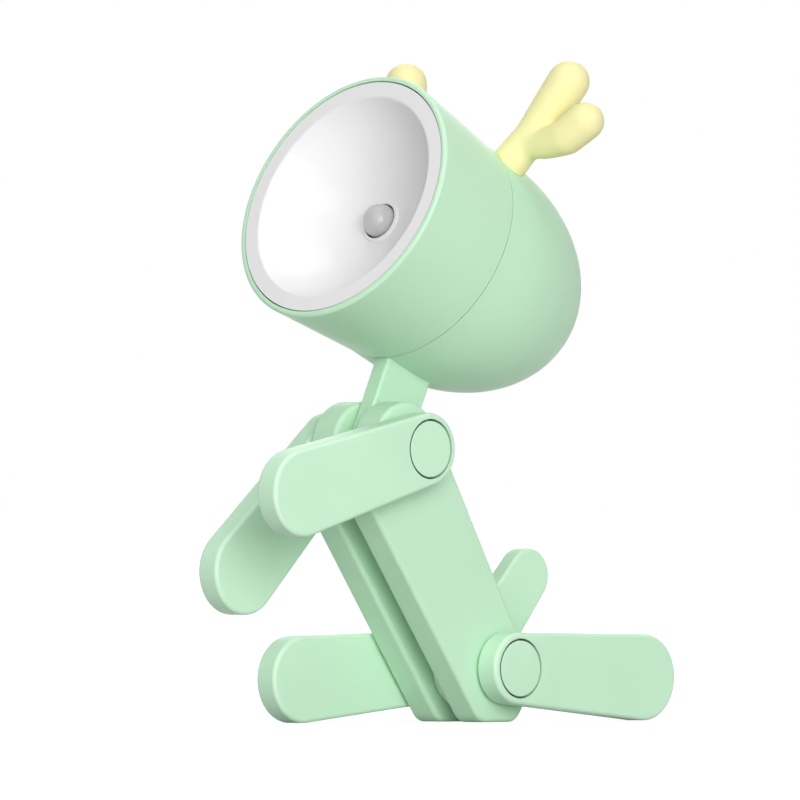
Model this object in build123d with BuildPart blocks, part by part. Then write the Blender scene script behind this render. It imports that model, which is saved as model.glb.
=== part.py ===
"""Folding battery night light in the shape of a small sitting deer.

A bullet-shaped lamp head on a flat neck turns on the upper pivot of two body bars. Two front legs turn
on the same pivot, two rear legs and a tail turn on the lower one. Millimetres, +Z up, nose along -X,
floor at Z = 0, origin under the middle of the outline.
"""

import os
from math import atan2, cos, hypot, radians, sin

from build123d import *

os.makedirs("parts", exist_ok=True)

# Pose, in degrees
body_lean = 30.3  # body bars from the vertical, upper pivot forward
head_tilt = 25.2  # head axis above the horizontal
left_front_drop = 13.8  # front legs below the horizontal, pointing forward
right_front_drop = 42.3
rear_drop = 3.3  # rear legs below the horizontal, left one back and right one forward
tail_lean = 41.3  # tail from the vertical, leaning back

# Body bars, seen from the side
pivot_span = 38.0
bar_t = 5.1
bar_gap = 3.6
bar_top_r = 6.7
crown_ahead = 0.5  # middle of the upper round ahead of its pivot, and above it
crown_above = 0.3
chest_r = 6.0
chest_ahead = 2.7
chest_below = 6.0
bar_low_r = 6.1
foot_ahead = 0.2  # middle of the foot ahead of the lower pivot
foot_sink = 1.1  # depth that the lower round is cut flat
foot_round = 2.5
bar_round = 0.7

# Legs and tail
leg_len = 27.0
leg_pivot_r = 5.4
leg_tip_r = 6.5
leg_t = 4.0
leg_gap = 0.4
leg_round = 0.6
tail_len = 18.3
tail_pivot_r = 4.85
tail_tip_r = 4.1
tail_hub_r = 6.0  # round knuckle that fills the slot at the lower pivot
slot_gap = 0.3  # each side of the neck and the tail, between the bars

# Pivots
axle_r = 2.0
run = 0.05  # radial clearance of a turning fit
cap_land = 0.3  # flat of the leg left round the cap's groove
cap_t = 1.6
cap_groove = 0.3

# Head shells, lengths measured along the head axis from the mouth
axis_rise = 31.0  # head axis above the upper pivot
shade_flare = 1.6  # mouth wider than the parting line, on the radius
rim_w = 0.85
rebate = 1.5
shade_len = 17.6
part_gap = 0.2
dome_land = 4.6
dome_round = 25.4
wall = 1.5
spigot_len = 4.0
lug_deg = 16.0
twist_deg = 20.0

# Neck and antlers
neck_w = 9.6
neck_back = 4.8  # middle of the neck, over the upper pivot, behind the parting line
tenon_w = 6.0
pad_t = 1.6
neck_screw_r = 1.0
neck_screw_len = 7.0
neck_head_r = 2.4
neck_head_h = 1.3
antler_back = 2.7  # antler plane behind the parting line
antler_turn = 34.5  # antler roots from head-up, degrees
root_out = 0.4
stem_r = 2.65
stem_len = 5.2
stem_rise = 57.5  # stem and tines up from straight out sideways, degrees
upper_len = 9.25
upper_rise = 68.4
upper_tip_r = 3.1
branch_up = 3.9  # start of the outer tine along the stem
outer_len = 10.6
outer_rise = 17.6
outer_tip_r = 3.0
peg = 4.0

# Lamp unit
ring_w = 2.47
ring_gap = 0.2  # open line between the ring and the rim
ring_sink = 0.08
ring_round = 0.5
bowl_depth = 8.87
skin = 1.2
bulb_r = 2.55
bulb_gap = 0.3
lip_w = 0.55  # lip round the bulb's hole, and its height above the bowl
lip_h = 0.3
bulb_out = 2.85  # bulb tip ahead of the bottom of the bowl
flange_w = 1.65
flange_t = 0.8
tongue_w = 4.0
press = 0.8
stop_gap = 0.3
switch_w = 4.5
switch_h = 1.65
key_r = 0.85
board_t = 1.2
board_edge = 1.3  # board beyond the posts
board_gap = 1.75  # between the board and the spigot
tray_t = 1.5
cell_r = 5.8
cell_t = 5.4
cell_gap = 0.15
post_r = 2.2
screw_r = 0.85
screw_head_r = 1.8
screw_head_h = 1.2
screw_gap = 0.75  # between the screw heads and the trough
screw_bite = 5.2

# Pivot and head positions
lean, tilt = radians(body_lean), radians(head_tilt)
low_z = leg_tip_r + leg_len * sin(radians(rear_drop))
front_reach = pivot_span * sin(lean) + leg_len * cos(radians(left_front_drop)) + leg_tip_r
rear_reach = leg_len * cos(radians(rear_drop)) + leg_tip_r
low = ((front_reach - rear_reach) / 2, low_z)
top = (low[0] - pivot_span * sin(lean), low_z + pivot_span * cos(lean))
bar_in = bar_gap / 2
bar_out = bar_in + bar_t
leg_in = bar_out + leg_gap
leg_out = leg_in + leg_t
cap_r = leg_pivot_r - leg_round - cap_land - cap_groove
neck_t = bar_gap - 2 * slot_gap
tail_t = neck_t
trough_r = cell_r + cell_gap
post_y = trough_r + wall + screw_gap + screw_head_r
board_r = post_y + post_r + board_edge
spigot_in = board_r + board_gap
spigot_r = spigot_in + wall
inner_r = spigot_r + run
parting_r = inner_r + wall
mouth_r = parting_r + shade_flare
rear = Vector(cos(tilt), 0, -sin(tilt))
rise = Vector(sin(tilt), 0, cos(tilt))
mouth_ahead = shade_len + part_gap + neck_back
mouth = Vector(top[0], 0, top[1]) - rear * mouth_ahead + rise * axis_rise
head_axis = Axis(mouth, rear)


def side(y):
    """Upright plane y to the right of the middle, with the lamp's X across and Z up."""
    return Plane(origin=(0, y, 0), x_dir=(1, 0, 0), z_dir=(0, -1, 0))


def reach(pivot, length, angle):
    """Point at a length from a pivot, angle in degrees up from +X."""
    return (pivot[0] + length * cos(radians(angle)), pivot[1] + length * sin(radians(angle)))


def section(a):
    """Plane across the head a behind the mouth, Y across, head-up up, facing the rear."""
    return Plane(origin=mouth + rear * a, x_dir=(0, 1, 0), z_dir=rear)


def meridian(turn=0.0):
    """Plane through the head axis, axis across and radius up, turned from head-up to the right."""
    out = rise * cos(radians(turn)) + Vector(0, sin(radians(turn)), 0)
    return Plane(origin=mouth, x_dir=rear, z_dir=rear.cross(out))


# Body bars: rounded at both pivots, fuller at the chest, cut flat where they stand
def body_bar(s):
    foot = (low[0] - foot_ahead, bar_low_r - foot_sink)
    with BuildPart() as bar:
        with BuildSketch(side(s * bar_out)) as outline:
            with Locations((top[0] - crown_ahead, top[1] + crown_above)):
                Circle(bar_top_r)
            with Locations((top[0] - chest_ahead, top[1] - chest_below)):
                Circle(chest_r)
            with Locations(low, foot):
                Circle(bar_low_r)
            make_hull()
            with Locations((low[0], 0)):
                ground = (Align.CENTER, Align.MAX)
                Rectangle(4 * bar_low_r, 4 * bar_low_r, align=ground, mode=Mode.SUBTRACT)
            fillet(outline.vertices().sort_by(Axis.Y)[:2], foot_round)
        extrude(amount=s * bar_t)
        ends = bar.faces().filter_by(Axis.Y)
        fillet(ends.edges(), bar_round)
        with BuildSketch(side(s * bar_out)):
            with Locations(top, low):
                Circle(axle_r)
        extrude(amount=s * bar_t, mode=Mode.SUBTRACT)
    return bar


left_body_bar = body_bar(-1)
left_body_bar.part.label = "left_body_bar"
export_step(left_body_bar.part, "parts/left_body_bar.step")

right_body_bar = body_bar(1)
right_body_bar.part.label = "right_body_bar"
export_step(right_body_bar.part, "parts/right_body_bar.step")


# Axles: plain pins with a thinner spigot at each end for the caps
def axle(pivot):
    shoulder = leg_out - cap_t
    with BuildPart() as pin:
        with BuildSketch(side(0)):
            with Locations(pivot):
                Circle(axle_r)
        extrude(amount=shoulder, both=True)
        with BuildSketch(side(0)):
            with Locations(pivot):
                Circle(axle_r * 0.75)
        extrude(amount=shoulder + cap_t * 0.6, both=True)
    return pin


upper_axle = axle(top)
upper_axle.part.label = "upper_axle"
export_step(upper_axle.part, "parts/upper_axle.step")

lower_axle = axle(low)
lower_axle.part.label = "lower_axle"
export_step(lower_axle.part, "parts/lower_axle.step")

# Pivot caps: four flush discs pressed on the axle ends
with BuildPart() as pivot_caps:
    for s in (-1, 1):
        with BuildSketch(side(s * leg_out)):
            with Locations(top, low):
                Circle(cap_r)
        extrude(amount=s * cap_t)
    rims = pivot_caps.faces().sort_by(Axis.Y)
    fillet((rims[:2] + rims[-2:]).edges(), 0.15)
    for s in (-1, 1):
        with BuildSketch(side(s * (leg_out - cap_t))):
            with Locations(top, low):
                Circle(axle_r * 0.75)
        extrude(amount=-s * cap_t * 0.65, mode=Mode.SUBTRACT)
pivot_caps.part.label = "pivot_caps"
export_step(pivot_caps.part, "parts/pivot_caps.step")


# Legs: flat bars wider at the free end, sunk round the cap
def leg(s, pivot, angle):
    with BuildPart() as bar:
        with BuildSketch(side(s * leg_out)):
            with Locations(pivot):
                Circle(leg_pivot_r)
            with Locations(reach(pivot, leg_len, angle)):
                Circle(leg_tip_r)
            make_hull()
        extrude(amount=s * leg_t)
        ends = bar.faces().filter_by(Axis.Y)
        fillet(ends.edges(), leg_round)
        with BuildSketch(side(s * leg_out)):
            with Locations(pivot):
                Circle(cap_r + cap_groove)
        extrude(amount=s * (cap_t + 0.3), mode=Mode.SUBTRACT)
        with BuildSketch(side(s * leg_out)):
            with Locations(pivot):
                Circle(axle_r + run)
        extrude(amount=s * leg_t, mode=Mode.SUBTRACT)
    return bar


left_front_leg = leg(-1, top, 180 + left_front_drop)
left_front_leg.part.label = "left_front_leg"
export_step(left_front_leg.part, "parts/left_front_leg.step")

right_front_leg = leg(1, top, 180 + right_front_drop)
right_front_leg.part.label = "right_front_leg"
export_step(right_front_leg.part, "parts/right_front_leg.step")

left_rear_leg = leg(-1, low, -rear_drop)
left_rear_leg.part.label = "left_rear_leg"
export_step(left_rear_leg.part, "parts/left_rear_leg.step")

right_rear_leg = leg(1, low, 180 + rear_drop)
right_rear_leg.part.label = "right_rear_leg"
export_step(right_rear_leg.part, "parts/right_rear_leg.step")

# Tail: a short tapering bar with a round knuckle between the body bars
with BuildPart() as tail:
    with BuildSketch(side(0)):
        with Locations(low):
            Circle(tail_pivot_r)
        with Locations(reach(low, tail_len, 90 - tail_lean)):
            Circle(tail_tip_r)
        make_hull()
        with Locations(low):
            Circle(tail_hub_r)
    extrude(amount=tail_t / 2, both=True)
    fillet(tail.faces().filter_by(Axis.Y).edges(), 0.5)
    with BuildSketch(side(0)):
        with Locations(low):
            Circle(axle_r + run)
    extrude(amount=tail_t, both=True, mode=Mode.SUBTRACT)
tail.part.label = "tail"
export_step(tail.part, "parts/tail.step")

# Rear dome: bullet-shaped shell with a spigot and two bayonet lugs at its open end
part_a = shade_len + part_gap
land_a = part_a + dome_land
lug_a = shade_len - spigot_len + 1.3
lug_h = 0.45
neck_a = mouth_ahead
antler_a = part_a + antler_back
pad_h = inner_r - pad_t
root = reach((0, 0), parting_r + root_out, 90 - antler_turn)
branch = reach(root, branch_up, stem_rise)
fork = reach(root, stem_len, stem_rise)
upper_tip = reach(fork, upper_len, upper_rise)
outer_tip = reach(branch, outer_len, outer_rise)
up_plane = Plane(origin=mouth + rear * neck_a, x_dir=rear, z_dir=rise)
with BuildPart() as rear_dome:
    with BuildSketch(meridian()):
        with BuildLine():
            EllipticalCenterArc((land_a, 0), dome_round, parting_r, start_angle=0, arc_size=90)
            Polyline(
                (land_a, parting_r),
                (part_a, parting_r),
                (part_a, spigot_r),
                (shade_len - spigot_len, spigot_r),
                (shade_len - spigot_len, spigot_in),
                (part_a + dome_land * 0.6, spigot_in),
                (part_a + dome_land * 0.6, inner_r),
                (land_a, inner_r),
            )
            EllipticalCenterArc((land_a, 0), dome_round - wall, inner_r, start_angle=0, arc_size=90)
            Line((land_a + dome_round - wall, 0), (land_a + dome_round, 0))
        make_face()
    revolve(axis=head_axis)
    for turn in (90, 270):
        with BuildSketch(meridian(turn + lug_deg / 2)):
            with Locations((lug_a, spigot_r - 0.4)):
                Rectangle(1.4, 0.4 + lug_h, align=(Align.CENTER, Align.MIN))
        revolve(axis=head_axis, revolution_arc=lug_deg)
    with BuildSketch(up_plane.offset(-pad_h)):
        Rectangle(tenon_w + 3, neck_t + 3.4)
    extrude(amount=-(inner_r + wall / 2 - 0.4 - pad_h))
    with BuildSketch(up_plane.offset(-pad_h)):
        Rectangle(tenon_w + 0.1, neck_t + 0.1)
    extrude(amount=-(parting_r + 1 - pad_h), mode=Mode.SUBTRACT)
    for s in (-1, 1):
        stem = Vector(0, s * cos(radians(stem_rise)), 0) + rise * sin(radians(stem_rise))
        foot = mouth + rear * antler_a + Vector(0, s * root[0], 0) + rise * root[1] - stem * peg
        with BuildSketch(Plane(origin=foot, x_dir=rear, z_dir=stem)):
            Circle(stem_r * 0.65)
        extrude(amount=peg + 4, mode=Mode.SUBTRACT)
rear_dome.part.label = "rear_dome"
export_step(rear_dome.part, "parts/rear_dome.step")

# Front shade: slightly tapering shell, rebated for the reflector, with bayonet tracks inside
rebate_r = mouth_r - rim_w
seat_r = rebate_r - 1.6
with BuildPart() as front_shade:
    with BuildSketch(meridian()):
        with BuildLine():
            Polyline(
                (0, rebate_r),
                (0, mouth_r),
                (shade_len, parting_r),
                (shade_len, inner_r),
                (shade_len - spigot_len - 1, inner_r),
                (rebate, seat_r),
                (rebate, rebate_r),
                close=True,
            )
        make_face()
    revolve(axis=head_axis)
    fillet(front_shade.edges().filter_by(GeomType.CIRCLE).sort_by(SortBy.RADIUS)[-1], rim_w * 0.55)
    for turn in (90, 270):
        entry = turn + twist_deg + lug_deg / 2 + 1.5
        with BuildSketch(meridian(entry)):
            with Locations((lug_a, inner_r - 0.5)):
                Rectangle(2.0, 0.5 + lug_h + 0.25, align=(Align.CENTER, Align.MIN))
        revolve(axis=head_axis, revolution_arc=twist_deg + lug_deg + 3, mode=Mode.SUBTRACT)
        with BuildSketch(meridian(entry)):
            with Locations((lug_a, inner_r - 0.5)):
                Rectangle(spigot_len, 0.5 + lug_h + 0.25, align=(Align.MIN, Align.MIN))
        revolve(axis=head_axis, revolution_arc=lug_deg + 3, mode=Mode.SUBTRACT)
front_shade.part.label = "front_shade"
export_step(front_shade.part, "parts/front_shade.step")

# Neck: flat bar cut to the underside of the dome, with a tenon through its wall
with BuildPart() as neck:
    with BuildSketch(Plane(origin=(top[0], 0, top[1]), x_dir=rear, z_dir=(0, -1, 0))):
        Circle(neck_w / 2)
        Rectangle(neck_w, axis_rise - parting_r * 0.8, align=(Align.CENTER, Align.MIN))
    extrude(amount=neck_t / 2, both=True)
    fillet(neck.faces().filter_by(Axis.Y).edges(), 0.45)
    with BuildSketch(meridian()):
        with BuildLine():
            EllipticalCenterArc((land_a, 0), dome_round, parting_r, start_angle=0, arc_size=90)
            Polyline((land_a, parting_r), (0, parting_r), (0, 0), (land_a + dome_round, 0))
        make_face()
    revolve(axis=head_axis, mode=Mode.SUBTRACT)
    with BuildSketch(up_plane.offset(-pad_h - 0.05)):
        Rectangle(tenon_w, neck_t)
    extrude(amount=-(parting_r + 2 - pad_h))
    with BuildSketch(up_plane.offset(-pad_h)):
        Circle(neck_screw_r)
    extrude(amount=-neck_screw_len - 0.2, mode=Mode.SUBTRACT)
    with BuildSketch(side(0)):
        with Locations(top):
            Circle(axle_r + run)
    extrude(amount=neck_t, both=True, mode=Mode.SUBTRACT)
neck.part.label = "neck"
export_step(neck.part, "parts/neck.step")

# Neck screw: pulls the tenon up against the pad inside the dome
with BuildPart() as neck_screw:
    with BuildSketch(up_plane.offset(-pad_h)):
        Circle(neck_head_r)
    extrude(amount=neck_head_h)
    fillet(neck_screw.faces().sort_by(Axis(mouth, rise))[-1].edges(), neck_head_h * 0.3)
    with BuildSketch(up_plane.offset(neck_head_h - pad_h)):
        Rectangle(neck_head_r * 1.1, neck_head_r * 0.25)
        Rectangle(neck_head_r * 0.25, neck_head_r * 1.1)
    extrude(amount=-neck_head_h * 0.55, mode=Mode.SUBTRACT)
    with BuildSketch(up_plane.offset(-pad_h)):
        Circle(neck_screw_r)
    extrude(amount=-neck_screw_len)
neck_screw.part.label = "neck_screw"
export_step(neck_screw.part, "parts/neck_screw.step")


# Antlers: a stem and two club-ended tines, round in section, with a peg into the dome
def antler(s):
    def spot(p):
        return mouth + rear * antler_a + Vector(0, s * p[0], 0) + rise * p[1]

    with BuildPart() as horn:
        for start, end, r0, r1 in (
            (root, fork, stem_r, stem_r * 1.03),
            (fork, upper_tip, stem_r * 0.98, upper_tip_r),
            (branch, outer_tip, stem_r, outer_tip_r),
        ):
            length = hypot(end[0] - start[0], end[1] - start[1])
            along = (spot(end) - spot(start)).normalized()
            with BuildSketch(Plane(origin=spot(start), x_dir=along, z_dir=rear)):
                Circle(r0)
                with Locations((length, 0)):
                    Circle(r1)
                make_hull()
                below = (Align.CENTER, Align.MAX)
                Rectangle(4 * length, 4 * length, align=below, mode=Mode.SUBTRACT)
            revolve(axis=Axis(spot(start), along))
        with BuildSketch(meridian()):
            with BuildLine():
                EllipticalCenterArc((land_a, 0), dome_round, parting_r, start_angle=0, arc_size=90)
                Polyline((land_a, parting_r), (0, parting_r), (0, 0), (land_a + dome_round, 0))
            make_face()
        revolve(axis=head_axis, mode=Mode.SUBTRACT)
        stem = (spot(fork) - spot(root)).normalized()
        with BuildSketch(Plane(origin=spot(root) - stem * peg, x_dir=rear, z_dir=stem)):
            Circle(stem_r * 0.65)
        extrude(amount=peg + 2)
    return horn


left_antler = antler(-1)
left_antler.part.label = "left_antler"
export_step(left_antler.part, "parts/left_antler.step")

right_antler = antler(1)
right_antler.part.label = "right_antler"
export_step(right_antler.part, "parts/right_antler.step")

# Reflector: front ring, round bowl, bulb guide and two screw posts in one moulding
ring_r = rebate_r - ring_gap
bowl_r = ring_r - ring_w
floor_a = ring_sink + bowl_depth
bulb_hole_r = bulb_r + bulb_gap
lip_r = bulb_hole_r + lip_w
ball_a = (ring_sink**2 + bowl_r**2 - floor_a**2 - lip_r**2) / (2 * (ring_sink - floor_a))
ball_r = hypot(ring_sink - ball_a, bowl_r)
back_a = rebate - 0.02
back_r = (((ball_r + skin) ** 2) - (back_a - ball_a) ** 2) ** 0.5
boss_r = lip_r + skin
boss_a = ball_a + ((ball_r + skin) ** 2 - boss_r**2) ** 0.5
guide_a = floor_a + 1.5
guide_end = floor_a + 4.2
flange_a = guide_end + stop_gap
key_a = flange_a + flange_t
board_a = key_a + press + stop_gap + switch_h
half = (atan2(bowl_r, ring_sink - ball_a) + atan2(lip_r, floor_a - ball_a)) / 2
back_half = (atan2(back_r, back_a - ball_a) + atan2(boss_r, boss_a - ball_a)) / 2
with BuildPart() as reflector:
    with BuildSketch(meridian()):
        with BuildLine():
            Polyline((ring_sink, 0), (ring_sink, ring_r), (back_a, ring_r), (back_a, back_r))
            ThreePointArc(
                (back_a, back_r),
                (ball_a + (ball_r + skin) * cos(back_half), (ball_r + skin) * sin(back_half)),
                (boss_a, boss_r),
            )
            Polyline((boss_a, boss_r), (guide_end, boss_r), (guide_end, 0), (ring_sink, 0))
        make_face()
    revolve(axis=head_axis)
    with BuildSketch(section(board_a)):
        with Locations((-post_y, 0), (post_y, 0)):
            Circle(post_r)
    extrude(amount=-(board_a - ring_sink - 2))
    with BuildSketch(meridian()):
        with BuildLine():
            Line((ring_sink, 0), (ring_sink, bowl_r))
            ThreePointArc(
                (ring_sink, bowl_r),
                (ball_a + ball_r * cos(half), ball_r * sin(half)),
                (floor_a, lip_r),
            )
            Polyline(
                (floor_a, lip_r),
                (floor_a - lip_h, lip_r - lip_h / 2),
                (floor_a - lip_h, bulb_hole_r),
                (guide_a, bulb_hole_r),
                (guide_a, bulb_r + run),
                (guide_end, bulb_r + run),
                (guide_end, 0),
                (ring_sink, 0),
            )
        make_face()
    revolve(axis=head_axis, mode=Mode.SUBTRACT)
    circles = reflector.edges().filter_by(GeomType.CIRCLE)
    inner_rim = circles.filter_by(lambda edge: abs(edge.radius - bowl_r) < 0.01)
    fillet(inner_rim, ring_round)
    with BuildSketch(section(board_a)):
        with Locations((-post_y, 0), (post_y, 0)):
            Circle(screw_r)
    extrude(amount=-screw_bite - 0.2, mode=Mode.SUBTRACT)
reflector.part.label = "reflector"
export_step(reflector.part, "parts/reflector.step")

# Bulb: hollow frosted cap that slides in the guide, with a flange and a tongue that works the switch
bulb_a = floor_a - bulb_out + bulb_r
flange_r = bulb_r + flange_w
key_h = flange_r + key_r
bulb_in = bulb_r - 0.7
with BuildPart() as bulb_lens:
    with BuildSketch(meridian()):
        with BuildLine():
            ThreePointArc(
                (bulb_a - bulb_r, 0),
                (bulb_a - bulb_r * cos(radians(45)), bulb_r * sin(radians(45))),
                (bulb_a, bulb_r),
            )
            Polyline(
                (bulb_a, bulb_r),
                (flange_a, bulb_r),
                (flange_a, flange_r),
                (flange_a + flange_t, flange_r),
                (flange_a + flange_t, bulb_in),
                (bulb_a, bulb_in),
            )
            ThreePointArc(
                (bulb_a, bulb_in),
                (bulb_a - bulb_in * cos(radians(45)), bulb_in * sin(radians(45))),
                (bulb_a - bulb_in, 0),
            )
            Line((bulb_a - bulb_in, 0), (bulb_a - bulb_r, 0))
        make_face()
    revolve(axis=head_axis)
    with BuildSketch(section(flange_a)):
        Rectangle(tongue_w, key_h + 2 * key_r, align=(Align.CENTER, Align.MIN))
        Circle(bulb_r, mode=Mode.SUBTRACT)
    extrude(amount=flange_t)
bulb_lens.part.label = "bulb_lens"
export_step(bulb_lens.part, "parts/bulb_lens.step")

# Switch plunger: pin behind the bulb's tongue
key_end = board_a - press - stop_gap
with BuildPart() as switch_plunger:
    with BuildSketch(section(key_a)):
        with Locations((0, key_h)):
            Circle(key_r)
    extrude(amount=key_end - key_a)
switch_plunger.part.label = "switch_plunger"
export_step(switch_plunger.part, "parts/switch_plunger.step")

# Switch body: small square housing on the board
with BuildPart() as switch_body:
    with BuildSketch(section(board_a)):
        with Locations((0, key_h)):
            Rectangle(switch_w, switch_w)
            Circle(key_r + run, mode=Mode.SUBTRACT)
    extrude(amount=-switch_h)
switch_body.part.label = "switch_body"
export_step(switch_body.part, "parts/switch_body.step")

# Light-emitting diode inside the bulb
led_r = bulb_in - 0.35
led_a = bulb_a + press + 2
with BuildPart() as led:
    with BuildSketch(meridian()):
        with BuildLine():
            ThreePointArc(
                (led_a - led_r, 0),
                (led_a - led_r * cos(radians(45)), led_r * sin(radians(45))),
                (led_a, led_r),
            )
            Polyline(
                (led_a, led_r),
                (board_a - 0.7, led_r),
                (board_a - 0.7, led_r + 0.25),
                (board_a, led_r + 0.25),
                (board_a, 0),
                (led_a - led_r, 0),
            )
        make_face()
    revolve(axis=head_axis)
led.part.label = "led"
export_step(led.part, "parts/led.step")

# Circuit board: round, on the reflector's posts
with BuildPart() as circuit_board:
    with BuildSketch(section(board_a)):
        Circle(board_r)
        with Locations((-post_y, 0), (post_y, 0)):
            Circle(screw_r + 0.1, mode=Mode.SUBTRACT)
    extrude(amount=board_t)
circuit_board.part.label = "circuit_board"
export_step(circuit_board.part, "parts/circuit_board.step")

# Battery tray: plate against the board and a trough open at the top
tray_a = board_a + board_t
trough_a = tray_a + tray_t
trough_len = 3 * cell_t + 2.6
with BuildPart() as battery_tray:
    with BuildSketch(section(tray_a)):
        Circle(board_r - 1.2)
        with Locations((-post_y, 0), (post_y, 0)):
            Circle(screw_r + 0.1, mode=Mode.SUBTRACT)
    extrude(amount=tray_t)
    with BuildSketch(section(trough_a)):
        Circle(trough_r + wall)
        Rectangle(2 * (trough_r + wall), 3, align=(Align.CENTER, Align.MIN))
        with Locations((0, 3)):
            Rectangle(4 * cell_r, 4 * cell_r, align=(Align.CENTER, Align.MIN), mode=Mode.SUBTRACT)
        Circle(trough_r, mode=Mode.SUBTRACT)
        Rectangle(2 * trough_r, 4, align=(Align.CENTER, Align.MIN), mode=Mode.SUBTRACT)
    extrude(amount=trough_len)
    with BuildSketch(section(trough_a + trough_len)):
        Circle(trough_r + wall)
        with Locations((0, 3)):
            Rectangle(4 * cell_r, 4 * cell_r, align=(Align.CENTER, Align.MIN), mode=Mode.SUBTRACT)
    extrude(amount=1.2)
battery_tray.part.label = "battery_tray"
export_step(battery_tray.part, "parts/battery_tray.step")

# Contact plate at the board end of the trough
with BuildPart() as contact_plate:
    with BuildSketch(section(trough_a)):
        Circle(cell_r * 0.8)
    extrude(amount=0.4)
contact_plate.part.label = "contact_plate"
export_step(contact_plate.part, "parts/contact_plate.step")

# Three button cells in a row
cells_a = trough_a + 0.45
with BuildPart() as button_cells:
    for n in range(3):
        start = cells_a + n * (cell_t + 0.05)
        with BuildSketch(section(start)):
            Circle(cell_r)
        extrude(amount=cell_t - 0.8)
        with BuildSketch(section(start + cell_t - 0.8)):
            Circle(cell_r - 0.9)
        extrude(amount=0.8)
button_cells.part.label = "button_cells"
export_step(button_cells.part, "parts/button_cells.step")

# Coil contact at the far end of the trough
wire_r = 0.25
coil_a = cells_a + 3 * (cell_t + 0.05) + wire_r
coil_len = trough_a + trough_len - wire_r - 0.05 - coil_a
with BuildPart() as contact_spring:
    with BuildLine() as coil:
        Helix(coil_len / 2, coil_len, cell_r * 0.55, center=mouth + rear * coil_a, direction=rear)
    with BuildSketch(coil.line ^ 0):
        Circle(wire_r)
    sweep()
contact_spring.part.label = "contact_spring"
export_step(contact_spring.part, "parts/contact_spring.step")

# Two screws through the tray and board into the reflector's posts
with BuildPart() as unit_screws:
    with BuildSketch(section(trough_a)):
        with Locations((-post_y, 0), (post_y, 0)):
            Circle(screw_head_r)
    extrude(amount=screw_head_h)
    fillet(unit_screws.faces().sort_by(head_axis)[-2:].edges(), screw_head_h * 0.3)
    with BuildSketch(section(trough_a + screw_head_h)):
        with Locations((-post_y, 0), (post_y, 0)):
            Rectangle(screw_head_r * 1.1, screw_head_r * 0.28)
            Rectangle(screw_head_r * 0.28, screw_head_r * 1.1)
    extrude(amount=-screw_head_h * 0.5, mode=Mode.SUBTRACT)
    with BuildSketch(section(trough_a)):
        with Locations((-post_y, 0), (post_y, 0)):
            Circle(screw_r)
    extrude(amount=-(tray_t + board_t + screw_bite))
unit_screws.part.label = "unit_screws"
export_step(unit_screws.part, "parts/unit_screws.step")
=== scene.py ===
import math

import bpy
from mathutils import Matrix, Vector


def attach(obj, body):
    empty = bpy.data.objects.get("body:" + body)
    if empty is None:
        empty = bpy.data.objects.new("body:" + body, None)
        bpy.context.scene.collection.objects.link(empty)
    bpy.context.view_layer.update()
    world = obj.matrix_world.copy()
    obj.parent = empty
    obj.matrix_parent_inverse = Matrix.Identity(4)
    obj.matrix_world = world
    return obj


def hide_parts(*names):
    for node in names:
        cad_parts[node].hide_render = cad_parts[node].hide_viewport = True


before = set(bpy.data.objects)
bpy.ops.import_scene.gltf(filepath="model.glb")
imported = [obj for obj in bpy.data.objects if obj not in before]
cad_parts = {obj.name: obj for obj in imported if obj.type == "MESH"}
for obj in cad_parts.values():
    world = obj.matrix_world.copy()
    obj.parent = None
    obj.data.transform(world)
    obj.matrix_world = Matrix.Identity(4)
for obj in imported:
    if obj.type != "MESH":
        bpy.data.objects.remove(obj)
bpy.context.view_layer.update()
bpy.ops.object.select_all(action="DESELECT")


# Body bars. Two flat injection mouldings of satin mint plastic, side by side on the two pins.
# The tool is finely spark-eroded, so the skin has an even grain. Its rounded edges are painted a little
# paler, partly as wear and partly as a painted highlight along them.
# Mint painted paler, as painted light, for the legs and caps.
mint_painted_light = (0.622, 0.893, 0.664)
mint = (0.585, 0.850, 0.625)
mint_deep = (0.555, 0.825, 0.595)
# Paler mint for rounded edges: partly wear, partly a painted highlight.
mint_worn_and_highlit = (0.740, 0.940, 0.770)
tool_grain = 2600.0
grain_depth = 0.00002
polish_finer_than_flow = 7.0
plastic_gloss = 0.12


def put(tree, kind, settings=None, **sockets):
    """Adds a shader node to a tree, with its settings and its sockets' values."""
    made = tree.nodes.new("ShaderNode" + kind)
    for name, value in (settings or {}).items():
        setattr(made, name, value)
    for name, value in sockets.items():
        made.inputs[name.replace("_", " ")].default_value = value
    return made


def wire(tree, *pairs):
    """Links pairs of sockets."""
    for start, end in pairs:
        tree.links.new(start, end)


def effect(name, takes, gives):
    """An empty node group with named sockets, and its input and output nodes."""
    tree = bpy.data.node_groups.new(name, "ShaderNodeTree")
    for label, kind in takes:
        tree.interface.new_socket(label, in_out="INPUT", socket_type="NodeSocket" + kind)
    for label, kind in gives:
        tree.interface.new_socket(label, in_out="OUTPUT", socket_type="NodeSocket" + kind)
    return tree, tree.nodes.new("NodeGroupInput"), tree.nodes.new("NodeGroupOutput")


def place(tree, group, **sockets):
    """Puts a node group into a material's tree with that finish's own values."""
    return put(tree, "Group", {"node_tree": group}, **sockets)


def blank(name):
    """A new material, its tree and its shader."""
    stuff = bpy.data.materials.new(name)
    stuff.use_nodes = True
    return stuff, stuff.node_tree, stuff.node_tree.nodes["Principled BSDF"]


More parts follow.
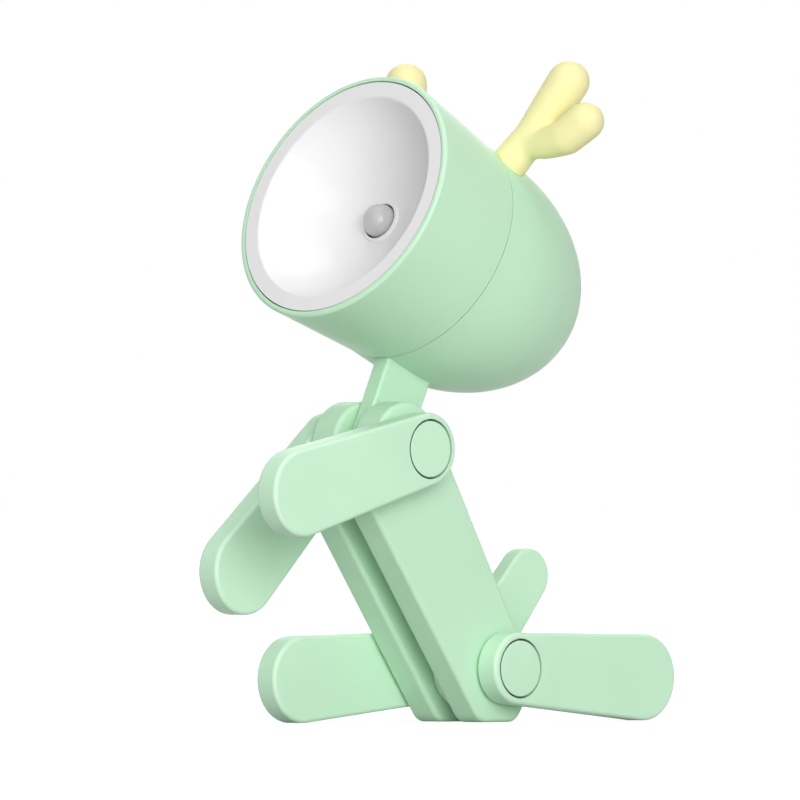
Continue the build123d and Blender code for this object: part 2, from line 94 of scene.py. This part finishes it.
moulded_skin, given, made = effect(
    "moulded_skin",
    [("Colour", "Color"), ("Flow colour", "Color"), ("Flow size", "Float"), ("Grain size", "Float"),
     ("Smoothest", "Float"), ("Roughest", "Float")],
    [("Colour", "Color"), ("Roughness", "Float"), ("Height", "Float")],
)
tree = moulded_skin
where = put(tree, "TexCoord")
flow = put(tree, "TexNoise", Detail=3.0, Roughness=0.55, Distortion=0.4)
streak = put(tree, "MapRange", From_Min=0.34, From_Max=0.66)
tint = put(tree, "MixRGB")
finer = put(tree, "Math", {"operation": "MULTIPLY"})
finer.inputs[1].default_value = polish_finer_than_flow
polish = put(tree, "TexNoise", Detail=2.0, Roughness=0.6)
sheen = put(tree, "MapRange", From_Min=0.3, From_Max=0.7)
grain = put(tree, "TexNoise", Detail=2.0, Roughness=0.65)
wire(
    tree,
    (where.outputs["Object"], flow.inputs["Vector"]),
    (given.outputs["Flow size"], flow.inputs["Scale"]),
    (flow.outputs["Fac"], streak.inputs["Value"]),
    (streak.outputs["Result"], tint.inputs["Fac"]),
    (given.outputs["Colour"], tint.inputs["Color1"]),
    (given.outputs["Flow colour"], tint.inputs["Color2"]),
    (tint.outputs["Color"], made.inputs["Colour"]),
    (given.outputs["Flow size"], finer.inputs[0]),
    (finer.outputs["Value"], polish.inputs["Scale"]),
    (where.outputs["Object"], polish.inputs["Vector"]),
    (polish.outputs["Fac"], sheen.inputs["Value"]),
    (given.outputs["Smoothest"], sheen.inputs["To Min"]),
    (given.outputs["Roughest"], sheen.inputs["To Max"]),
    (sheen.outputs["Result"], made.inputs["Roughness"]),
    (where.outputs["Object"], grain.inputs["Vector"]),
    (given.outputs["Grain size"], grain.inputs["Scale"]),
    (grain.outputs["Fac"], made.inputs["Height"]),
)

# A mask on rounded edges, from how the surface faces across the bar and patchy with noise: partly wear,
# partly a painted highlight.
worn_and_highlit_edge, given, made = effect("worn_and_highlit_edge", [("Amount", "Float")], [("Mask", "Float")])
tree = worn_and_highlit_edge
facing = put(tree, "NewGeometry")
split = put(tree, "SeparateXYZ")
across = put(tree, "Math", {"operation": "ABSOLUTE"})
rest = put(tree, "Math", {"operation": "SUBTRACT"})
rest.inputs[0].default_value = 1.0
hump = put(tree, "Math", {"operation": "MULTIPLY"})
where = put(tree, "TexCoord")
patchy = put(tree, "TexNoise", Scale=210.0, Detail=3.0, Roughness=0.6)
worn = put(tree, "MapRange", From_Min=0.3, From_Max=0.7, To_Min=1.4, To_Max=4.0)
shown = put(tree, "Math", {"operation": "MULTIPLY"})
scaled = put(tree, "Math", {"operation": "MULTIPLY", "use_clamp": True})
wire(
    tree,
    (facing.outputs["Normal"], split.inputs["Vector"]),
    (split.outputs["Y"], across.inputs[0]),
    (across.outputs["Value"], rest.inputs[1]),
    (across.outputs["Value"], hump.inputs[0]),
    (rest.outputs["Value"], hump.inputs[1]),
    (where.outputs["Object"], patchy.inputs["Vector"]),
    (patchy.outputs["Fac"], worn.inputs["Value"]),
    (hump.outputs["Value"], shown.inputs[0]),
    (worn.outputs["Result"], shown.inputs[1]),
    (shown.outputs["Value"], scaled.inputs[0]),
    (given.outputs["Amount"], scaled.inputs[1]),
    (scaled.outputs["Value"], made.inputs["Mask"]),
)


def moulding(name, colour, flow_colour, flow_size, grain_size, smoothest, roughest, bump):
    """A moulded plastic: colour with faint flow marks, uneven polish and tool grain."""
    stuff, tree, shader = blank(name)
    skin = place(tree, moulded_skin, Colour=(*colour, 1.0), Flow_colour=(*flow_colour, 1.0),
                 Flow_size=flow_size, Grain_size=grain_size, Smoothest=smoothest, Roughest=roughest)
    wire(tree, (skin.outputs["Colour"], shader.inputs["Base Color"]),
         (skin.outputs["Roughness"], shader.inputs["Roughness"]))
    shader.inputs["Specular IOR Level"].default_value = plastic_gloss
    if bump:
        relief = put(tree, "Bump", Strength=bump, Distance=grain_depth)
        wire(tree, (skin.outputs["Height"], relief.inputs["Height"]),
             (relief.outputs["Normal"], shader.inputs["Normal"]))
    return stuff, shader


def let_light_in(shader, weight, radius, depth):
    """Lets light sink a little way into a plastic."""
    shader.inputs["Subsurface Weight"].default_value = weight
    shader.inputs["Subsurface Radius"].default_value = radius
    shader.inputs["Subsurface Scale"].default_value = depth


def mint_moulding(name, colour, flow_colour, flow_size, smoothest=0.40, roughest=0.50, bump=0.16):
    """A moulding of the lamp's mint plastic."""
    stuff, shader = moulding(name, colour, flow_colour, flow_size, tool_grain, smoothest, roughest, bump)
    let_light_in(shader, weight=0.12, radius=(0.8, 1.0, 0.8), depth=0.0009)
    return stuff, shader


def lay_over(stuff, shader, mask, colour):
    """Lays a colour over a finish, as strongly as a mask says."""
    tree = stuff.node_tree
    over = put(tree, "MixRGB", Color2=(*colour, 1.0))
    below = shader.inputs["Base Color"].links[0].from_socket
    wire(tree, (mask, over.inputs["Fac"]), (below, over.inputs["Color1"]),
         (over.outputs["Color"], shader.inputs["Base Color"]))


def rub_and_highlight(stuff, shader, amount):
    """Paints a flat mint moulding's rounded edges paler: partly wear, partly a painted highlight."""
    edge = place(stuff.node_tree, worn_and_highlit_edge, Amount=amount)
    lay_over(stuff, shader, edge.outputs["Mask"], mint_worn_and_highlit)


def dress(material, *names):
    """Gives CAD nodes their finish."""
    for name in names:
        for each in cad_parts[name].material_slots:
            each.material = material


bar_stuff, shader = mint_moulding("mint_bar", mint, mint_deep, flow_size=38.0)
rub_and_highlight(bar_stuff, shader, amount=0.15)
dress(bar_stuff, "left_body_bar", "right_body_bar")


# Pivot pins and caps. Turned steel pins run through bars and legs, and a flush mint disc is pressed
# on each end, with a narrow groove round it whose walls are painted dark as painted shade, a dark ring.
steel = (0.52, 0.52, 0.54)
steel_bright = (0.66, 0.66, 0.68)
groove_painted_shade = (0.110, 0.220, 0.150)
line_depth = 0.00001

drawn_metal, given, made = effect(
    "drawn_metal",
    [("Colour", "Color"), ("Bright colour", "Color"), ("Stretch", "Vector"), ("Line size", "Float"),
     ("Smoothest", "Float"), ("Roughest", "Float")],
    [("Colour", "Color"), ("Roughness", "Float"), ("Height", "Float")],
)
tree = drawn_metal
where = put(tree, "TexCoord")
pull = put(tree, "VectorMath", {"operation": "MULTIPLY"})
lines = put(tree, "TexNoise", Detail=4.0, Roughness=0.7)
bright = put(tree, "MapRange", From_Min=0.3, From_Max=0.7)
tint = put(tree, "MixRGB")
sheen = put(tree, "MapRange", From_Min=0.3, From_Max=0.7)
wire(
    tree,
    (where.outputs["Object"], pull.inputs[0]),
    (given.outputs["Stretch"], pull.inputs[1]),
    (pull.outputs["Vector"], lines.inputs["Vector"]),
    (given.outputs["Line size"], lines.inputs["Scale"]),
    (lines.outputs["Fac"], bright.inputs["Value"]),
    (bright.outputs["Result"], tint.inputs["Fac"]),
    (given.outputs["Colour"], tint.inputs["Color1"]),
    (given.outputs["Bright colour"], tint.inputs["Color2"]),
    (tint.outputs["Color"], made.inputs["Colour"]),
    (lines.outputs["Fac"], sheen.inputs["Value"]),
    (given.outputs["Smoothest"], sheen.inputs["To Min"]),
    (given.outputs["Roughest"], sheen.inputs["To Max"]),
    (sheen.outputs["Result"], made.inputs["Roughness"]),
    (lines.outputs["Fac"], made.inputs["Height"]),
)


def metal(name, colour, bright_colour, stretch, line_size, smoothest, roughest):
    """A drawn, turned or plated metal with fine working lines."""
    stuff, tree, shader = blank(name)
    shader.inputs["Metallic"].default_value = 1.0
    work = place(tree, drawn_metal, Colour=(*colour, 1.0), Bright_colour=(*bright_colour, 1.0),
                 Stretch=stretch, Line_size=line_size, Smoothest=smoothest, Roughest=roughest)
    relief = put(tree, "Bump", Strength=0.2, Distance=line_depth)
    wire(tree, (work.outputs["Colour"], shader.inputs["Base Color"]),
         (work.outputs["Roughness"], shader.inputs["Roughness"]),
         (work.outputs["Height"], relief.inputs["Height"]),
         (relief.outputs["Normal"], shader.inputs["Normal"]))
    return stuff


pin_stuff = metal("pin_steel", steel, steel_bright, stretch=(1.0, 0.05, 1.0), line_size=2200.0,
                  smoothest=0.28, roughest=0.42)
dress(pin_stuff, "upper_axle", "lower_axle")

# Painted shade: a dark mask on faces that stand across the pins, the cap's side walls in its groove.
groove_shade_mask, given, made = effect("groove_shade_mask", [], [("Mask", "Float")])
tree = groove_shade_mask
facing = put(tree, "NewGeometry")
split = put(tree, "SeparateXYZ")
across = put(tree, "Math", {"operation": "ABSOLUTE"})
steep = put(tree, "MapRange", {"interpolation_type": "SMOOTHSTEP"},
            From_Min=0.25, From_Max=0.75, To_Min=1.0, To_Max=0.0)
where = put(tree, "TexCoord")
patchy = put(tree, "TexNoise", Scale=420.0, Detail=3.0, Roughness=0.6)
thick = put(tree, "MapRange", From_Min=0.3, From_Max=0.7, To_Min=0.8, To_Max=1.0)
shown = put(tree, "Math", {"operation": "MULTIPLY"})
wire(
    tree,
    (facing.outputs["Normal"], split.inputs["Vector"]),
    (split.outputs["Y"], across.inputs[0]),
    (across.outputs["Value"], steep.inputs["Value"]),
    (where.outputs["Object"], patchy.inputs["Vector"]),
    (patchy.outputs["Fac"], thick.inputs["Value"]),
    (steep.outputs["Result"], shown.inputs[0]),
    (thick.outputs["Result"], shown.inputs[1]),
    (shown.outputs["Value"], made.inputs["Mask"]),
)

# The caps take the legs' paler mint, painted light as on the legs.
cap_stuff, shader = mint_moulding("mint_cap", mint_painted_light, mint, flow_size=60.0, smoothest=0.38, roughest=0.48)
rub_and_highlight(cap_stuff, shader, amount=0.15)
# The groove's walls get the painted shade.
wall = place(cap_stuff.node_tree, groove_shade_mask)
lay_over(cap_stuff, shader, wall.outputs["Mask"], groove_painted_shade)
dress(cap_stuff, "pivot_caps")


# Legs and tail. Flat mint bars, all four legs from one tool, wider at the free end. Their mint is painted
# paler as painted light, and their rounded edges palest, partly as wear and partly as a painted highlight.
leg_stuff, shader = mint_moulding("mint_leg", mint_painted_light, mint, flow_size=46.0)
rub_and_highlight(leg_stuff, shader, amount=0.6)
dress(leg_stuff, "left_front_leg", "right_front_leg", "left_rear_leg", "right_rear_leg", "tail")


# Neck. A flat bar between the body bars, cut to the underside of the head and held by a tenon with one
# screw from inside. Its mint is painted a touch deeper than theirs, as painted shade from the head above.
# Painted shade: the neck's mint is deepened for the head's shade above it.
neck_mint_painted_shade = (0.545, 0.805, 0.585)
neck_mint_deep_painted_shade = (0.520, 0.780, 0.560)
neck_stuff, shader = mint_moulding("mint_neck", neck_mint_painted_shade, neck_mint_deep_painted_shade, flow_size=52.0)
rub_and_highlight(neck_stuff, shader, amount=0.15)
dress(neck_stuff, "neck")
zinc = (0.50, 0.50, 0.52)
zinc_bright = (0.68, 0.68, 0.70)
screw_stuff = metal("zinc_screw", zinc, zinc_bright, stretch=(1.0, 1.0, 1.0), line_size=3000.0,
                    smoothest=0.3, roughest=0.5)
dress(screw_stuff, "neck_screw", "unit_screws")


# Head shells. A bullet-shaped rear dome and a slightly flared front shade of mint plastic, locked by a
# bayonet with a hairline parting between them. The dome's mint is painted a touch deeper as painted shade.
# The rim and the parting's edge are painted faintly paler, partly as wear and partly as a painted highlight.
tilt = math.radians(25.2)
mouth = Vector((-0.0172033, 0.0, 0.0785355))
rear = Vector((math.cos(tilt), 0.0, -math.sin(tilt)))
rise = Vector((math.sin(tilt), 0.0, math.cos(tilt)))
# Painted shade: the dome's mint is deepened where it sits in less light than the shade.
dome_mint_painted_shade = (0.562, 0.826, 0.602)
dome_mint_deep_painted_shade = (0.534, 0.802, 0.573)

# A mask round the head at a given distance behind the mouth, patchy with noise: the rim's and the parting's
# edges painted paler, partly as wear and partly as a painted highlight.
shell_edge_wear_and_highlight, given, made = effect(
    "shell_edge_wear_and_highlight", [("Behind mouth", "Float"), ("Width", "Float")], [("Mask", "Float")])
tree = shell_edge_wear_and_highlight
where = put(tree, "TexCoord")
along = put(tree, "VectorMath", {"operation": "DOT_PRODUCT"})
along.inputs[1].default_value = rear
from_mouth = put(tree, "Math", {"operation": "SUBTRACT"})
from_mouth.inputs[1].default_value = mouth.dot(rear)
offset = put(tree, "Math", {"operation": "SUBTRACT"})
apart = put(tree, "Math", {"operation": "ABSOLUTE"})
fade = put(tree, "MapRange", {"interpolation_type": "SMOOTHSTEP"}, From_Min=0.0, To_Min=1.0, To_Max=0.0)
patchy = put(tree, "TexNoise", Scale=160.0, Detail=3.0, Roughness=0.6)
worn = put(tree, "MapRange", From_Min=0.3, From_Max=0.7, To_Min=0.0, To_Max=0.15)
shown = put(tree, "Math", {"operation": "MULTIPLY"})
wire(
    tree,
    (where.outputs["Object"], along.inputs[0]),
    (along.outputs["Value"], from_mouth.inputs[0]),
    (from_mouth.outputs["Value"], offset.inputs[0]),
    (given.outputs["Behind mouth"], offset.inputs[1]),
    (offset.outputs["Value"], apart.inputs[0]),
    (apart.outputs["Value"], fade.inputs["Value"]),
    (given.outputs["Width"], fade.inputs["From Max"]),
    (where.outputs["Object"], patchy.inputs["Vector"]),
    (patchy.outputs["Fac"], worn.inputs["Value"]),
    (fade.outputs["Result"], shown.inputs[0]),
    (worn.outputs["Result"], shown.inputs[1]),
    (shown.outputs["Value"], made.inputs["Mask"]),
)

for name, node, tone, tone_deep, edge_at, edge_wide in (
    ("mint_shade", "front_shade", mint, mint_deep, 0.0003, 0.0003),
    ("mint_dome", "rear_dome", dome_mint_painted_shade, dome_mint_deep_painted_shade, 0.0178, 0.0004),
):
    shell_stuff, shader = mint_moulding(name, tone, tone_deep, flow_size=30.0,
                                        smoothest=0.36, roughest=0.46, bump=0.14)
    edge = place(shell_stuff.node_tree, shell_edge_wear_and_highlight, Behind_mouth=edge_at, Width=edge_wide)
    lay_over(shell_stuff, shader, edge.outputs["Mask"], mint_worn_and_highlit)
    dress(shell_stuff, node)


# Antlers. Two soft-looking pale yellow mouldings, a stem with two club-ended tines that melt into each
# other, pegged and glued into the dome just behind the parting line. Points are given in the antler's
# own plane, as the distance out from the head's middle and up.
butter = (0.906, 0.853, 0.455)
butter_deep = (0.896, 0.838, 0.435)
behind_mouth = 0.0205
antler_middle = mouth + rear * behind_mouth
root = (0.01050, 0.01545)
fork = (0.01303, 0.01965)
upper_knee = (0.01575, 0.02540)
upper_tip = (0.01705, 0.02862)
branch = (0.01265, 0.01805)
low_knee = (0.01640, 0.01820)
outer_knee = (0.02030, 0.01945)
outer_tip = (0.02322, 0.02195)
fork_corner = (0.01400, 0.01760)
fork_reach = 0.0044
foot_height = 0.0176
skin_step = 0.00026


def spot(point):
    """Place of a point of the left antler's own plane."""
    return antler_middle + Vector((0.0, -point[0], 0.0)) + rise * point[1]


def club(start, end, start_r, end_r):
    """A round tine: a ball whose one half is drawn out to the start and thinned."""
    bpy.ops.mesh.primitive_uv_sphere_add(segments=48, ring_count=32, radius=end_r)
    tine = bpy.context.object
    for vertex in tine.data.vertices:
        vertex.select = vertex.co.z < -end_r * 0.01
    for part in (*tine.data.edges, *tine.data.polygons):
        part.select = all(tine.data.vertices[n].select for n in part.vertices)
    bpy.ops.object.mode_set(mode="EDIT")
    bpy.ops.transform.resize(value=(start_r / end_r,) * 3, center_override=(0.0, 0.0, 0.0))
    bpy.ops.transform.translate(value=(0.0, 0.0, -(end - start).length))
    bpy.ops.object.mode_set(mode="OBJECT")
    turn = (end - start).to_track_quat("Z", "Y").to_matrix().to_4x4()
    tine.matrix_world = Matrix.Translation(end) @ turn
    bpy.ops.object.transform_apply(location=True, rotation=True, scale=True)
    tine.select_set(False)
    return tine


def faces_outwards():
    """Turns the faces of the active piece outwards."""
    bpy.ops.object.mode_set(mode="EDIT")
    bpy.ops.mesh.select_all(action="SELECT")
    bpy.ops.mesh.normals_make_consistent(inside=False)
    bpy.ops.object.mode_set(mode="OBJECT")


tines = [
    club(spot(start), spot(end), start_r, end_r)
    for start, end, start_r, end_r in (
        (root, fork, 0.00288, 0.00264),
        (fork, upper_knee, 0.00260, 0.00310),
        (upper_knee, upper_tip, 0.00310, 0.00320),
        (branch, low_knee, 0.00205, 0.00230),
        (low_knee, outer_knee, 0.00230, 0.00282),
        (outer_knee, outer_tip, 0.00282, 0.00292),
    )
]
for tine in tines:
    tine.select_set(True)
bpy.context.view_layer.objects.active = tines[0]
bpy.ops.object.join()
antler = bpy.context.object
antler.name = antler.data.name = "antler_left"
one_skin = antler.modifiers.new("one_skin", "REMESH")
one_skin.mode = "VOXEL"
one_skin.voxel_size = skin_step
melt = antler.modifiers.new("melt", "SMOOTH")
melt.factor = 0.5
melt.iterations = 34
for name in ("one_skin", "melt"):
    bpy.ops.object.modifier_apply(modifier=name)
fork_place = spot(fork_corner)
fork_skin = antler.vertex_groups.new(name="fork_skin")
for vertex in antler.data.vertices:
    near = 1.0 - (vertex.co - fork_place).length / fork_reach
    if near > 0.0:
        fork_skin.add([vertex.index], near, "REPLACE")
soften = antler.modifiers.new("soften", "SMOOTH")
soften.factor = 0.5
soften.iterations = 110
soften.vertex_group = fork_skin.name
bpy.ops.object.modifier_apply(modifier="soften")
antler.vertex_groups.clear()
outwards = (spot(root) - antler_middle).normalized()
bpy.ops.object.mode_set(mode="EDIT")
bpy.ops.mesh.select_all(action="SELECT")
bpy.ops.mesh.bisect(plane_co=antler_middle + outwards * foot_height, plane_no=outwards,
                    use_fill=True, clear_inner=True)
bpy.ops.object.mode_set(mode="OBJECT")
faces_outwards()
bpy.ops.object.shade_smooth()
antler_pair = antler.copy()
antler_pair.data = antler.data.copy()
antler_pair.name = antler_pair.data.name = "antler_right"
bpy.context.scene.collection.objects.link(antler_pair)
antler.select_set(False)
antler_pair.select_set(True)
bpy.context.view_layer.objects.active = antler_pair
antler_pair.scale = (1.0, -1.0, 1.0)
bpy.ops.object.transform_apply(location=True, rotation=True, scale=True)
faces_outwards()
antler_pair.select_set(False)
butter_stuff, shader = moulding("butter_antler", butter, butter_deep, flow_size=90.0, grain_size=tool_grain,
                                smoothest=0.42, roughest=0.55, bump=0.14)
let_light_in(shader, weight=0.08, radius=(1.0, 0.85, 0.35), depth=0.0012)
for piece, node in ((antler, "left_antler"), (antler_pair, "right_antler")):
    piece.data.materials.append(butter_stuff)
    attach(piece, "head")
    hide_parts(node)


# Reflector. One white moulding: a flat ring in the rim's rebate, a round bowl, the bulb's guide and two
# screw posts behind. All of it is satin under a thin gloss.
white = (0.828, 0.828, 0.832)
white_deep = (0.818, 0.818, 0.823)
white_stuff, shader = moulding("white_reflector", white, white_deep, flow_size=40.0, grain_size=1800.0,
                               smoothest=0.28, roughest=0.32, bump=0.0)
shader.inputs["Coat Weight"].default_value = 0.25
shader.inputs["Coat Roughness"].default_value = 0.12
dress(white_stuff, "reflector")


# Bulb. A hollow frosted cap that is pressed like a button; the frosting scatters light and has a fine
# sandy tooth. The diode's clear dome stands inside it.
frost = (0.488, 0.488, 0.493)
frost_pale = (0.528, 0.528, 0.533)
frost_stuff, shader = moulding("frosted_bulb", frost, frost_pale, flow_size=240.0, grain_size=5200.0,
                               smoothest=0.28, roughest=0.42, bump=0.3)
let_light_in(shader, weight=0.35, radius=(1.0, 1.0, 1.0), depth=0.0008)
shader.inputs["Coat Weight"].default_value = 1.0
shader.inputs["Coat Roughness"].default_value = 0.24
dress(frost_stuff, "bulb_lens")
resin = (0.85, 0.82, 0.66)
resin_deep = (0.80, 0.75, 0.55)
resin_stuff, _ = moulding("diode_resin", resin, resin_deep, flow_size=300.0, grain_size=4000.0,
                               smoothest=0.08, roughest=0.16, bump=0.05)
dress(resin_stuff, "led")


# Switch and board. A small black switch on a green fibre board whose copper tracks show as raised lines
# under the solder mask.
black = (0.030, 0.030, 0.032)
black_deep = (0.045, 0.045, 0.047)
switch_stuff, _ = moulding("switch_black", black, black_deep, flow_size=200.0, grain_size=3000.0,
                                smoothest=0.4, roughest=0.55, bump=0.2)
dress(switch_stuff, "switch_body", "switch_plunger")
mask_green = (0.030, 0.170, 0.060)
mask_pale = (0.060, 0.270, 0.100)
board_stuff, tree, shader = blank("board_green")
shader.inputs["Roughness"].default_value = 0.35
where = put(tree, "TexCoord")
tracks = put(tree, "TexWave", {"bands_direction": "Y"},
             Scale=260.0, Distortion=6.0, Detail=1.0, Detail_Scale=0.6)
raised = put(tree, "MapRange", From_Min=0.62, From_Max=0.72)
tint = put(tree, "MixRGB", Color1=(*mask_green, 1.0), Color2=(*mask_pale, 1.0))
relief = put(tree, "Bump", Strength=0.4, Distance=0.00005)
wire(
    tree,
    (where.outputs["Object"], tracks.inputs["Vector"]),
    (tracks.outputs["Fac"], raised.inputs["Value"]),
    (raised.outputs["Result"], tint.inputs["Fac"]),
    (tint.outputs["Color"], shader.inputs["Base Color"]),
    (raised.outputs["Result"], relief.inputs["Height"]),
    (relief.outputs["Normal"], shader.inputs["Normal"]),
)
dress(board_stuff, "circuit_board")


# Battery unit. A white tray with three plated button cells in a row between a flat contact and a coil,
# screwed through the board into the reflector's posts.
tray_white = (0.700, 0.700, 0.690)
tray_deep = (0.670, 0.670, 0.655)
tray_stuff, _ = moulding("tray_white", tray_white, tray_deep, flow_size=60.0, grain_size=2200.0,
                              smoothest=0.4, roughest=0.55, bump=0.15)
dress(tray_stuff, "battery_tray")
nickel = (0.60, 0.58, 0.53)
nickel_bright = (0.76, 0.74, 0.69)
contact_stuff = metal("contact_nickel", nickel, nickel_bright, stretch=(1.0, 0.15, 1.0), line_size=1800.0,
                      smoothest=0.2, roughest=0.34)
dress(contact_stuff, "contact_plate", "contact_spring")
can = (0.58, 0.58, 0.58)
can_bright = (0.72, 0.72, 0.72)
cell_stuff = metal("cell_can", can, can_bright, stretch=(1.0, 1.0, 0.3), line_size=1500.0,
                   smoothest=0.18, roughest=0.3)
dress(cell_stuff, "button_cells")


# Studio. A plain pale floor that runs white to the camera and keeps the lamp's shadow, an even white
# surround, and five large soft lights: the key in front on the camera's right, a weaker one beside the
# camera, one on its left, one overhead and one behind.
paper_grey = (0.52, 0.52, 0.52)
full_white = (1.0, 1.0, 1.0, 1.0)
room_level = 0.26
camera_distance = 3.0
aim = Vector((-0.00505, 0.0, 0.04816))
azimuth = math.radians(-45.4)
towards_camera = Vector((math.sin(azimuth), -math.cos(azimuth), 0.0))
camera_right = Vector((math.cos(azimuth), math.sin(azimuth), 0.0))
up = Vector((0.0, 0.0, 1.0))


def looked_at(tree):
    """1 where a thing is seen by the camera, in a mirror or through glass, and else 0."""
    seen = put(tree, "LightPath")
    mirrored = put(tree, "Math", {"operation": "MAXIMUM"})
    direct = put(tree, "Math", {"operation": "MAXIMUM"})
    wire(
        tree,
        (seen.outputs["Is Glossy Ray"], mirrored.inputs[0]),
        (seen.outputs["Is Transmission Ray"], mirrored.inputs[1]),
        (seen.outputs["Is Camera Ray"], direct.inputs[0]),
        (mirrored.outputs["Value"], direct.inputs[1]),
    )
    return direct.outputs["Value"]


bpy.ops.mesh.primitive_plane_add(size=8.0, location=(0.0, 0.0, 0.0))
floor = bpy.context.object
floor.name = "floor"
floor.select_set(False)
paper, tree, shader = blank("floor_paper")
shader.inputs["Base Color"].default_value = (*paper_grey, 1.0)
shader.inputs["Roughness"].default_value = 0.9
shader.inputs["Specular IOR Level"].default_value = 0.1
where = put(tree, "TexCoord")
away = put(tree, "VectorMath", {"operation": "LENGTH"})
lifted = put(tree, "MapRange", {"interpolation_type": "SMOOTHSTEP"},
             From_Min=0.06, From_Max=0.20, To_Min=0.68, To_Max=1.0)
lift = put(tree, "Emission", Color=full_white)
strength = put(tree, "Math", {"operation": "MULTIPLY"})
both = put(tree, "AddShader")
wire(
    tree,
    (where.outputs["Object"], away.inputs[0]),
    (away.outputs["Value"], lifted.inputs["Value"]),
    (lifted.outputs["Result"], strength.inputs[0]),
    (looked_at(tree), strength.inputs[1]),
    (strength.outputs["Value"], lift.inputs["Strength"]),
    (shader.outputs["BSDF"], both.inputs[0]),
    (lift.outputs["Emission"], both.inputs[1]),
    (both.outputs["Shader"], tree.nodes["Material Output"].inputs["Surface"]),
)
floor.data.materials.append(paper)

surround = bpy.data.worlds.new("surround")
bpy.context.scene.world = surround
surround.use_nodes = True
tree = surround.node_tree
tree.nodes.clear()
white_ground = put(tree, "Background", Color=full_white, Strength=1.0)
soft_room = put(tree, "Background", Color=full_white, Strength=room_level)
which = put(tree, "MixShader")
out = put(tree, "OutputWorld")
wire(
    tree,
    (looked_at(tree), which.inputs["Fac"]),
    (soft_room.outputs["Background"], which.inputs[1]),
    (white_ground.outputs["Background"], which.inputs[2]),
    (which.outputs["Shader"], out.inputs["Surface"]),
)

for name, way, distance, size, power in (
    ("key", camera_right * 0.22 + up * 0.20 + towards_camera * 0.86, 1.1, 0.8, 9.4),
    ("front_fill", up * 0.12 + towards_camera, 1.2, 0.8, 2.4),
    ("left_fill", camera_right * -0.40 + up * 0.50 + towards_camera * 0.75, 1.2, 0.35, 1.2),
    ("overhead", up - towards_camera * 0.05, 1.2, 0.8, 4.0),
    ("back_fill", up * 0.5 - towards_camera * 0.87, 1.3, 0.8, 4.0),
):
    lamp = bpy.data.lights.new(name, "AREA")
    lamp.shape = "SQUARE"
    lamp.size = size
    lamp.energy = power
    stand = bpy.data.objects.new(name, lamp)
    bpy.context.scene.collection.objects.link(stand)
    stand.location = aim + way.normalized() * distance
    stand.rotation_euler = way.to_track_quat("Z", "Y").to_euler()

lens = bpy.data.cameras.new("camera")
lens.sensor_width = 36.0
lens.lens = 904.5
lens.clip_start = 0.1
lens.clip_end = 20.0
camera = bpy.data.objects.new("camera", lens)
bpy.context.scene.collection.objects.link(camera)
camera.location = aim + towards_camera * camera_distance
camera.rotation_euler = towards_camera.to_track_quat("Z", "Y").to_euler()
bpy.context.scene.camera = camera
bpy.context.scene.view_settings.view_transform = "Standard"
